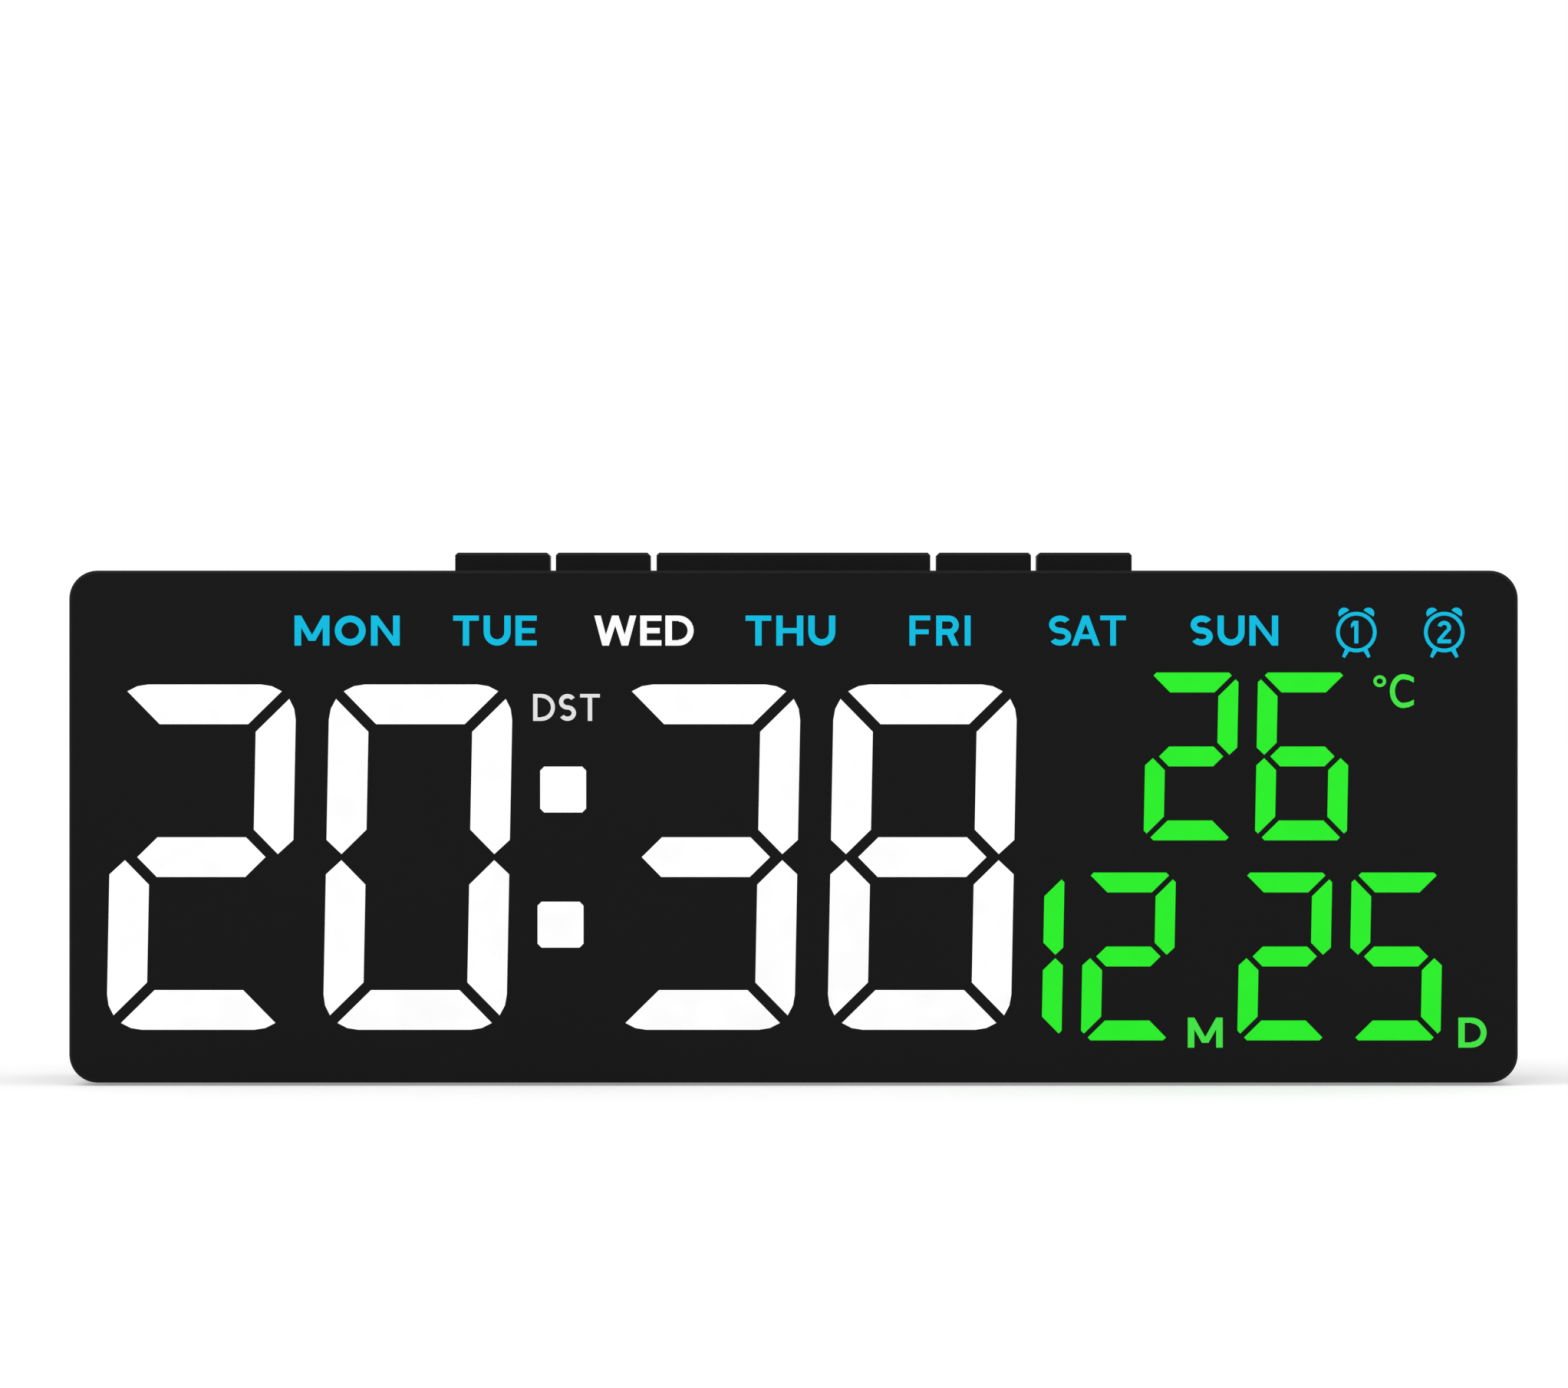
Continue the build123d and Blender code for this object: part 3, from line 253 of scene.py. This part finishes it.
def cell_sleeve():
    """A cell's printed sleeve: dark at both ends and teal between, with silver lines and bare steel tips."""
    finish = Finish("cell_sleeve", 0.3, metallic=0.85)
    low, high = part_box("battery_cells")
    place = finish.add("ShaderNodeSeparateXYZ", {"Vector": finish.place})
    length = {"Value": place.outputs["X"], "From Min": low.x, "From Max": high.x}
    along = finish.add("ShaderNodeMapRange", length)
    ramp = finish.add("ShaderNodeValToRGB", {"Fac": along.outputs["Result"]})
    steel = (0.62, 0.62, 0.60, 1)
    silver = (0.50, 0.50, 0.49, 1)
    dark = (0.05, 0.055, 0.065, 1)
    teal = (0.035, 0.16, 0.20, 1)
    # Where each band after the first starts, as a share of the length
    bands = [(0.045, dark), (0.30, silver), (0.33, teal), (0.67, silver), (0.70, dark), (0.955, steel)]
    ramp.color_ramp.interpolation = "CONSTANT"
    elements = ramp.color_ramp.elements
    elements.remove(elements[1])
    elements[0].color = steel
    for start, colour in bands:
        elements.new(start).color = colour
    finish.colour(ramp.outputs["Color"])
    finish.uneven_gloss(0.06, 0.06, 3.0)
    finish.grain(1.2, 0.01)
    return finish.material


def ribbon():
    """Grey ribbon cable, darker in a line between its wires: painted shade of the grooves there."""
    finish = Finish("ribbon", 0.5, 0.4)
    # This scale gives a wave every 1.26 mm
    waves = {"Vector": finish.place, "Scale": 1 / (4.0 * MM)}
    painted_groove_shade = finish.add("ShaderNodeTexWave", waves, bands_direction="X")
    # The wave darkens the grey between the wires: painted shade in the grooves between them
    finish.colour(finish.blend(painted_groove_shade.outputs["Fac"], (0.22, 0.22, 0.22), (0.45, 0.45, 0.44)))
    finish.uneven_gloss(0.05, 0.05, 1.0)
    return finish.material


# The record's slots that are plastic, each with its linear colour, roughness and specular level, then the
# size and depth of its grain, and some with the share and size of their patches
plastics = {
    "face_black": ((0.0036, 0.0036, 0.0036), 0.42, 0.09, 0.25, 0.002, 0.04, 20.0),
    "housing_black": ((0.0085, 0.0085, 0.0088), 0.52, 0.32, 0.38, 0.03),
    "key_black": ((0.0052, 0.0052, 0.0053), 0.46, 0.1, 0.3, 0.015),
    "plunger_black": ((0.02, 0.02, 0.02), 0.45, 0.4, 0.4, 0.01),
    "light_box_white": ((0.8, 0.8, 0.78), 0.5, 0.4, 0.4, 0.01, 0.03),
    "light_chip": ((0.8, 0.78, 0.5), 0.25, 0.5, 0.5, 0.005),
    "switch_black": ((0.03, 0.03, 0.032), 0.5, 0.4, 0.4, 0.01),
    "pad_rubber": ((0.02, 0.02, 0.02), 0.85, 0.25, 0.25, 0.04, 0.2, 2.0),
    "sensor_bead": ((0.03, 0.02, 0.015), 0.25, 0.5, 0.6, 0.01),
    "buzzer_black": ((0.02, 0.02, 0.02), 0.4, 0.4, 0.5, 0.01),
    "lead_red": ((0.55, 0.02, 0.015), 0.4, 0.4, 0.5, 0.01),
    "lead_black": ((0.02, 0.02, 0.02), 0.4, 0.4, 0.5, 0.01),
    "chip_black": ((0.025, 0.025, 0.027), 0.55, 0.4, 0.25, 0.01),
    "connector_white": ((0.75, 0.74, 0.68), 0.5, 0.4, 0.5, 0.01, 0.04),
}
# Those that are metal, each with its colour and roughness
metals = {
    "screw_steel": ((0.72, 0.72, 0.70), 0.28),
    "screw_black": ((0.06, 0.06, 0.065), 0.4),
    "contact_steel": ((0.75, 0.75, 0.73), 0.3),
    "socket_steel": ((0.70, 0.70, 0.70), 0.32),
    "crystal_steel": ((0.72, 0.72, 0.70), 0.25),
}
finishes = {
    "light_white": lit("light_white", (0.60, 0.60, 0.60), (1.0, 1.0, 1.0), 0.47),
    "light_green": lit("light_green", (0.02, 0.40, 0.02), (0.015, 1.0, 0.015), 0.50),
    "circuit_board": circuit_board(),
    "cell_sleeve": cell_sleeve(),
    "ribbon_grey": ribbon(),
}
for slot, looks in plastics.items():
    finishes[slot] = plastic(slot, *looks)
for slot, looks in metals.items():
    finishes[slot] = metal(slot, *looks)

for subpart in frame["record"]["subparts"]:
    node = frame["nodes"][subpart["node"]]
    node.data.materials.clear()
    node.data.materials.append(finishes[subpart["material_slot"]])

# The finishes of words and marks, which are no slots of the record
cyan_light = lit_word("word_cyan", (0.004, 0.49, 0.73), 0.62)
white_light = lit_word("word_white", (0.97, 0.97, 0.97), 0.60)
pale_light = lit_word("word_pale_white", (0.75, 0.74, 0.75), 0.62)
green_light = lit_word("word_green", (0.055, 0.76, 0.06), 0.62)
mark_grey = plastic("mark_grey", (0.45, 0.45, 0.45), 0.5, 0.3, 0.3, 0.004, 0.05)
worn_black = plastic("worn_black", (0.03, 0.03, 0.031), 0.3, 0.45, 0.5, 0.006)


# Outlines, as lists of corners
def bar(left, low, right, high):
    """An upright or level stroke with square ends."""
    return [(left, low), (right, low), (right, high), (left, high)]


def block(x, z, width, height):
    """A bar of which the middle and the size are given."""
    return bar(x - width / 2, z - height / 2, x + width / 2, z + height / 2)


def slant(low_x, low, high_x, high, width):
    """A slanting stroke with level ends, as wide as given along them."""
    return [(low_x, low), (low_x + width, low), (high_x + width, high), (high_x, high)]


def triangle(width, height, upward):
    """A triangle round its middle, with its tip up or down."""
    tip = height / 2 if upward else -height / 2
    return [(-width / 2, -tip), (width / 2, -tip), (0, tip)]


def on_circle(middle, radii, angles):
    """Points at some angles of a circle, or of an oval with two radii."""
    return [(middle[0] + radii[0] * math.cos(a), middle[1] + radii[1] * math.sin(a)) for a in angles]


# A round stroke turns by about this much from one corner to the next
arc_step = math.radians(12)


def arc(middle, radii, stroke, start, end):
    """Part of a ring between two angles in degrees, with its outer radii given. It is a row of short quads,
    because a full ring has a hole in it."""
    first, last = math.radians(start), math.radians(end)
    steps = max(2, round(abs(last - first) / arc_step))
    angles = [first + (last - first) * step / steps for step in range(steps + 1)]
    outer = on_circle(middle, radii, angles)
    inner = on_circle(middle, (radii[0] - stroke, radii[1] - stroke), angles)
    return [[outer[i], outer[i + 1], inner[i + 1], inner[i]] for i in range(steps)]


def moved(outlines, x, z):
    return [[(px + x, pz + z) for px, pz in outline] for outline in outlines]


# Letters, each from its lower left corner
level_share = 0.82


def level_stroke(stroke):
    """The width of a level stroke, which is thinner than an upright one."""
    return level_share * stroke


def stems(width, low, high, stroke):
    """Upright strokes at both sides."""
    return [bar(0, low, stroke, high), bar(width - stroke, low, width, high)]


def letter_m(width, height, stroke):
    foot = 0.16 * height
    tip = (width - stroke) / 2
    strokes = [slant(tip, foot, 0, height, stroke), slant(tip, foot, width - stroke, height, stroke)]
    return stems(width, 0, height, stroke) + strokes


def letter_n(width, height, stroke):
    return stems(width, 0, height, stroke) + [slant(width - stroke, 0, 0, height, stroke)]


def letter_w(width, height, stroke):
    slanted = 0.98 * stroke
    left_foot = 0.27 * width - slanted / 2
    right_foot = width - left_foot - slanted
    peak = (width - slanted) / 2
    return [
        slant(left_foot, 0, 0, height, slanted),
        slant(left_foot, 0, peak, height, slanted),
        slant(right_foot, 0, peak, height, slanted),
        slant(right_foot, 0, width - slanted, height, slanted),
    ]


def letter_a(width, height, stroke):
    slanted = 1.1 * stroke
    peak = (width - slanted) / 2
    rung = 0.22 * height
    rung_start = rung / height * peak + slanted / 2
    return [
        slant(0, 0, peak, height, slanted),
        slant(width - slanted, 0, peak, height, slanted),
        bar(rung_start, rung, width - rung_start, rung + level_stroke(stroke)),
    ]


def letter_o(width, height, stroke):
    return arc((width / 2, height / 2), (width / 2, height / 2), stroke, 0, 360)


def letter_c(width, height, stroke):
    """Half a ring, and two arms that bend a little inwards and are cut upright."""
    middle = 0.56 * width
    outlines = arc((middle, height / 2), (middle, height / 2), stroke, 90, 270)
    # Places along an arm, with how far it has bent in by each
    places = [(middle, 0), (0.8 * width, 0.03 * height), (width, 0.1 * height)]
    for (x, bend), (next_x, next_bend) in zip(places, places[1:]):
        lower = [(x, bend), (next_x, next_bend), (next_x, next_bend + stroke), (x, bend + stroke)]
        upper = [(px, height - pz) for px, pz in lower]
        outlines += [lower, upper]
    return outlines


def letter_d(width, height, stroke):
    radius = height / 2
    reach = width - radius
    level = level_stroke(stroke)
    bowl = arc((reach, radius), (radius, radius), 0.92 * stroke, -90, 90)
    rungs = [bar(0, 0, reach, level), bar(0, height - level, reach, height)]
    return [bar(0, 0, stroke, height)] + rungs + bowl


def letter_u(width, height, stroke):
    radius = width / 2
    bowl = arc((radius, radius), (radius, radius), stroke, 180, 360)
    return stems(width, radius, height, stroke) + bowl


def letter_s(width, height, stroke):
    radii = (width / 2, (height + stroke) / 4)
    upper = arc((width / 2, height - radii[1]), radii, stroke, 32, 270)
    lower = arc((width / 2, radii[1]), radii, stroke, 90, -148)
    return upper + lower


def letter_t(width, height, stroke):
    roof = bar(0, height - level_stroke(stroke), width, height)
    return [roof, block(width / 2, height / 2, stroke, height)]


def letter_e(width, height, stroke):
    level = level_stroke(stroke)
    rungs = [(0, width), (height - level, width), ((height - level) / 2, 0.92 * width)]
    return [bar(0, 0, stroke, height)] + [bar(0, low, reach, low + level) for low, reach in rungs]


def letter_f(width, height, stroke):
    level = level_stroke(stroke)
    rungs = [(height - level, width), (0.38 * height, 0.92 * width)]
    return [bar(0, 0, stroke, height)] + [bar(0, low, reach, low + level) for low, reach in rungs]


def letter_h(width, height, stroke):
    rung = block(width / 2, height / 2, width, level_stroke(stroke))
    return stems(width, 0, height, stroke) + [rung]


def letter_i(width, height, stroke):
    return [bar(0, 0, stroke, height)]


def letter_r(width, height, stroke):
    radius = 0.32 * height
    waist = height - 2 * radius
    reach = width - radius
    foot = 1.15 * stroke
    leg = slant(width - foot, 0, reach - 0.6 * stroke, waist + stroke / 2, foot)
    rungs = [bar(0, height - stroke, reach, height), bar(0, waist, reach, waist + stroke)]
    bowl = arc((reach, height - radius), (radius, radius), stroke, -90, 90)
    return [bar(0, 0, stroke, height), leg] + rungs + bowl


def figure_1(width, height, stroke):
    """A stem in the middle of the width, with a flag on its left."""
    stem = (width - stroke) / 2
    tail = 0.68 * height
    flag = [(0, tail), (stem, 0.8 * height), (stem, height), (0.7 * stem, height), (0, tail + stroke)]
    return [bar(stem, 0, stem + stroke, height), flag]


def figure_2(width, height, stroke):
    radius = width / 2
    hook = arc((radius, height - radius), (radius, radius), stroke, -25, 165)
    neck = slant(0, stroke, width - 1.25 * stroke, 0.62 * height, 1.2 * stroke)
    return hook + [neck, bar(0, 0, width, stroke)]


# Each letter's outline, and its width at the weekdays' cap height
letters = {
    "M": (letter_m, 3.95),
    "O": (letter_o, 3.5),
    "N": (letter_n, 3.25),
    "T": (letter_t, 2.9),
    "U": (letter_u, 3.05),
    "E": (letter_e, 2.4),
    "W": (letter_w, 4.75),
    "D": (letter_d, 3.2),
    "H": (letter_h, 3.05),
    "F": (letter_f, 2.35),
    "R": (letter_r, 2.55),
    "I": (letter_i, 0.8),
    "S": (letter_s, 2.5),
    "A": (letter_a, 3.2),
    "C": (letter_c, 2.4),
}
# Each alarm's figure and its width, and how far its sign is in from the face's right edge
alarms = [(figure_1, 1.2, 18.3), (figure_2, 1.55, 8.35)]


def letter_width(letter, height):
    return letters[letter][1] * height / cap_height


def single_letter(letter, middle, height, stroke):
    width = letter_width(letter, height)
    return moved(letters[letter][0](width, height, stroke), middle[0] - width / 2, middle[1] - height / 2)


def word(text, middle, width, height, stroke, squeeze=1.0):
    """The outlines of a word as wide as given: its letters, narrowed by the squeeze, with even gaps."""
    sizes = [squeeze * letter_width(letter, height) for letter in text]
    gap = (width - sum(sizes)) / (len(text) - 1)
    x = middle[0] - width / 2
    outlines = []
    for letter, size in zip(text, sizes):
        draw = letters[letter][0]
        outlines += moved(draw(size, height, stroke), x, middle[1] - height / 2)
        x += size + gap
    return outlines


def bell_clock():
    """A bell clock round its middle, with an empty face."""
    bell_middle = (bell_from_middle * math.sin(bell_lean), bell_from_middle * math.cos(bell_lean))
    turns = [math.pi * step / bell_steps - bell_lean for step in range(bell_steps + 1)]
    bell = on_circle(bell_middle, (bell_radius, bell_radius), turns)
    along = Vector((math.cos(foot_angle), math.sin(foot_angle)))
    across = Vector((-along.y, along.x))
    (start, start_half), (end, end_half) = foot_ends
    foot = [
        along * start - across * start_half,
        along * end - across * end_half,
        along * end + across * end_half,
        along * start + across * start_half,
    ]
    outlines = arc((0, 0), (clock_radius, clock_radius), clock_line, 0, 360)
    for side in (-1, 1):
        outlines += [[(side * x, z) for x, z in outline] for outline in (bell, foot)]
    return outlines


# Thin plates
class Side:
    """A flat side of one body, with the place where marks on it start and the two ways that they run."""

    def __init__(self, body, origin, across, up):
        self.body = body
        self.origin = Vector(origin)
        self.across = Vector(across)
        self.up = Vector(up)

    def point(self, p):
        """A corner of an outline, in metres."""
        return (self.origin + self.across * p.x + self.up * p.y) * MM


def back_side(body, x, y, z):
    """A side that faces backwards, on which marks run the other way."""
    return Side(body, (x, y, z), (-1, 0, 0), (0, 0, 1))


def is_anticlockwise(outline):
    ends = outline[1:] + outline[:1]
    return sum(a[0] * b[1] - b[0] * a[1] for a, b in zip(outline, ends)) > 0


# What Blender's triangulation is told to keep, and the gap within which it joins corners
keep_inside = 1
merge_within = 1e-4


def plate(name, outlines, side, finish, thickness=plate_thickness):
    """A thin plate on a side, with the outlines joined."""
    points = []
    loops = []
    for outline in outlines:
        loops.append(list(range(len(points), len(points) + len(outline))))
        # Outlines are joined wrongly unless each runs anticlockwise
        points += [Vector(p) for p in (outline if is_anticlockwise(outline) else reversed(outline))]
    joined = geometry.delaunay_2d_cdt(points, [], loops, keep_inside, merge_within)
    corners, _, faces, _, _, owners = joined
    # A triangle inside a ring's hole belongs to no outline
    triangles = [face for face, owned_by in zip(faces, owners) if owned_by]
    mesh = bpy.data.meshes.new(name)
    mesh.from_pydata([side.point(corner) for corner in corners], [], triangles)
    mesh.materials.append(finish)
    piece = new_object(name, mesh)
    solid = piece.modifiers.new("thickness", "SOLIDIFY")
    solid.thickness = thickness * MM
    # It grows outwards from the surface that carries it
    solid.offset = 1.0
    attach(piece, side.body)


# Words and signs on the face
front = Side("case", (0, face_front, 0), (1, 0, 0), (0, 0, 1))
first_x = face_left + first_weekday_from_left
weekday_pitch = (face_right - last_weekday_from_right - first_x) / (len(weekdays) - 1)
for place, (text, width, stroke, shift) in enumerate(weekdays):
    middle = (first_x + weekday_pitch * place + shift, face_top - weekday_from_top)
    light = white_light if text == today else cyan_light
    outlines = word(text, middle, width, cap_height, stroke)
    plate(f"word_{text.lower()}", outlines, front, light)

for number, (draw_figure, width, from_right) in enumerate(alarms, 1):
    figure = moved(draw_figure(width, figure_height, figure_stroke), -width / 2, -figure_height / 2)
    outlines = moved(bell_clock() + figure, face_right - from_right, face_top - alarm_from_top)
    plate(f"alarm_sign_{number}", outlines, front, cyan_light)

summer = word("DST", summer_middle, summer_width, summer_height, summer_stroke, summer_squeeze)
plate("summer_time_word", summer, front, pale_light)

degree = arc(degree_middle, degree_radii, degree_stroke, 0, 360)
celsius = single_letter("C", celsius_middle, celsius_height, celsius_stroke)
plate("degree_sign", degree + celsius, front, green_light)

for name, (letter, x, stroke) in date_letters.items():
    outlines = single_letter(letter, (x, date_z), cap_height, stroke)
    plate(name, outlines, front, green_light)

# Marks on the keys, printed in pale grey
menu_line = (2.6, 0.44)
menu_pitch = 1.0
key_arrow = (2.8, 2.2)
moon_radius = 1.7
moon_cut_radius = 1.45
moon_cut_middle = (0.85, 0.45)
moon_steps = 16
# The alarm key's clock is drawn as large as on the face, and then made smaller
key_clock_share = 0.62
hand_half = 0.2
long_hand = 1.3
short_hand = 1.0


def crescent():
    """A moon: a disc with another disc cut out of it."""
    apart = math.hypot(*moon_cut_middle)
    lean = math.atan2(moon_cut_middle[1], moon_cut_middle[0])
    # Half the angle that each disc's rim leaves open between the moon's horns
    squares = moon_radius**2 - moon_cut_radius**2
    rim_half = math.acos((squares + apart**2) / (2 * moon_radius * apart))
    cut_half = math.acos((squares - apart**2) / (2 * moon_cut_radius * apart))
    outline = []
    for middle, radius, half, order in (
        ((0, 0), moon_radius, rim_half, 1),
        (moon_cut_middle, moon_cut_radius, cut_half, -1),
    ):
        angles = [lean + half + step / moon_steps * 2 * (math.pi - half) for step in range(moon_steps + 1)]
        outline += on_circle(middle, (radius, radius), angles[::order])
    return [outline]


def clock_with_hands():
    """A bell clock with two hands, as large as fits on its key."""
    hands = [
        bar(-hand_half, -hand_half, hand_half, long_hand),
        bar(-hand_half, -hand_half, short_hand, hand_half),
    ]
    large = bell_clock() + hands
    return [[(key_clock_share * x, key_clock_share * z) for x, z in outline] for outline in large]


key_marks = {
    "mode_key": ("mode_button", [block(0, place * menu_pitch, *menu_line) for place in (-1, 0, 1)]),
    "up_key": ("up_button", [triangle(*key_arrow, upward=True)]),
    "snooze_key": ("snooze_button", crescent()),
    "down_key": ("down_button", [triangle(*key_arrow, upward=False)]),
    "alarm_key": ("alarm_button", clock_with_hands()),
}
for node, (body, outlines) in key_marks.items():
    low, high = box(node)
    middle = (low + high) / 2
    key_top = Side(body, (middle.x, middle.y, high.z), (1, 0, 0), (0, 1, 0))
    plate(f"{node}_mark", outlines, key_top, mark_grey)

# The door's arrow, in low relief
door_arrow = (4.4, 2.8)
door_arrow_relief = 0.12
door_arrow_rise = 12.0
low, high = box("battery_door")
door_back = back_side("battery_cover", (low.x + high.x) / 2, high.y, low.z + door_arrow_rise)
door_outlines = [triangle(*door_arrow, upward=False)]
plate("door_arrow", door_outlines, door_back, worn_black, door_arrow_relief)

# The direct current sign under the socket: a line over three dashes
current_line = (4.0, 0.35)
current_dash = (0.9, 0.35)
current_dash_pitch = 1.55
current_line_rise = 0.425
current_drop = 3.4
low, high = box("power_socket")
housing_back = box("rear_housing")[1].y
under_socket = back_side("case", (low.x + high.x) / 2, housing_back, low.z - current_drop)
current_sign = [block(0, current_line_rise, *current_line)]
for place in (-1, 0, 1):
    current_sign.append(block(place * current_dash_pitch, -current_line_rise, *current_dash))
plate("direct_current_sign", current_sign, under_socket, mark_grey)

# Plus and minus on the cells, of which every other one is turned round
cell_count = 3
pole_from_middle = 17.5
pole_line = (1.8, 0.4)
pole_sunk = 0.03
pole_thickness = 0.06
minus = [block(0, 0, *pole_line)]
plus = minus + [block(0, 0, *reversed(pole_line))]
low, high = box("battery_cells")
cell_diameter = high.y - low.y
cell_pitch = (high.z - low.z - cell_diameter) / (cell_count - 1)
for place in range(cell_count):
    plus_end = 1 if place % 2 == 0 else -1
    z = low.z + cell_diameter / 2 + place * cell_pitch
    for sign, outlines, end in (("plus", plus, plus_end), ("minus", minus, -plus_end)):
        x = (low.x + high.x) / 2 + end * pole_from_middle
        crest = back_side("case", x, high.y - pole_sunk, z)
        plate(f"cell_{place + 1}_{sign}", outlines, crest, mark_grey, pole_thickness)

# Floor, light and camera, in metres and degrees
floor_reach = 6.0
floor_grey = 0.8
floor_lift = 0.3
world_light = 0.5
# Each lamp with its azimuth, its elevation, its strength and the angle that it fills
lamps = {
    "key_light": (-35, 50, 1.0, 60),
    "fill_light": (40, 40, 0.6, 80),
    "back_light": (160, 45, 0.5, 80),
}
# The camera is level and straight in front, with a long lens, as in the photograph
camera_place = (-0.00108, -1.0025, 0.04437)
camera_lens = 200.0
camera_sensor = 36.0


def seen_directly(tree):
    """An output that is 1 for the rays that the camera, gloss and glass send out, and 0 for all others."""
    rays = new_node(tree, "ShaderNodeLightPath", {}).outputs
    seen = rays["Is Camera Ray"]
    for ray in ("Is Glossy Ray", "Is Transmission Ray"):
        seen = new_node(tree, "ShaderNodeMath", {0: seen, 1: rays[ray]}, operation="MAXIMUM").outputs[0]
    return seen


def make_floor():
    """A pale floor, lifted towards white where it is seen directly, so that it keeps only the shadow."""
    mesh = bpy.data.meshes.new("floor")
    corners = [(x, y, 0) for x, y in bar(-floor_reach, -floor_reach, floor_reach, floor_reach)]
    mesh.from_pydata(corners, [], [(0, 1, 2, 3)])
    material = bpy.data.materials.new("floor_pale")
    material.use_nodes = True
    tree = material.node_tree
    lift = new_node(tree, "ShaderNodeMath", {0: seen_directly(tree), 1: floor_lift}, operation="MULTIPLY")
    looks = {
        "Base Color": (floor_grey, floor_grey, floor_grey, 1),
        "Roughness": 0.9,
        "Specular IOR Level": 0.0,
        "Emission Color": (1, 1, 1, 1),
        "Emission Strength": lift.outputs[0],
    }
    feed(tree.nodes["Principled BSDF"], looks)
    mesh.materials.append(material)
    new_object("floor", mesh)


def make_world():
    """Plain white where it is seen directly, and a weaker light on the object."""
    world = bpy.data.worlds.new("studio")
    world.use_nodes = True
    tree = world.node_tree
    levels = {"Value": seen_directly(tree), "To Min": world_light, "To Max": 1.0}
    level = new_node(tree, "ShaderNodeMapRange", levels)
    feed(tree.nodes["Background"], {"Color": (1, 1, 1, 1), "Strength": level.outputs["Result"]})
    bpy.context.scene.world = world


def make_lamp(name, azimuth, elevation, strength, spread):
    """A wide soft light from one side, the same all over the floor."""
    lamp = bpy.data.lights.new(name, "SUN")
    lamp.energy = strength
    lamp.angle = math.radians(spread)
    holder = new_object(name, lamp)
    holder.rotation_euler = (math.radians(90 - elevation), 0, math.radians(azimuth))


def make_camera():
    camera = bpy.data.cameras.new("camera")
    camera.lens = camera_lens
    camera.sensor_width = camera_sensor
    camera.clip_start = 0.01
    camera.clip_end = 20.0
    holder = new_object("camera", camera)
    holder.location = camera_place
    holder.rotation_euler = (math.radians(90), 0, 0)
    bpy.context.scene.camera = holder


make_floor()
make_world()
for name, settings in lamps.items():
    make_lamp(name, *settings)
make_camera()

bpy.context.scene.view_settings.view_transform = "Standard"
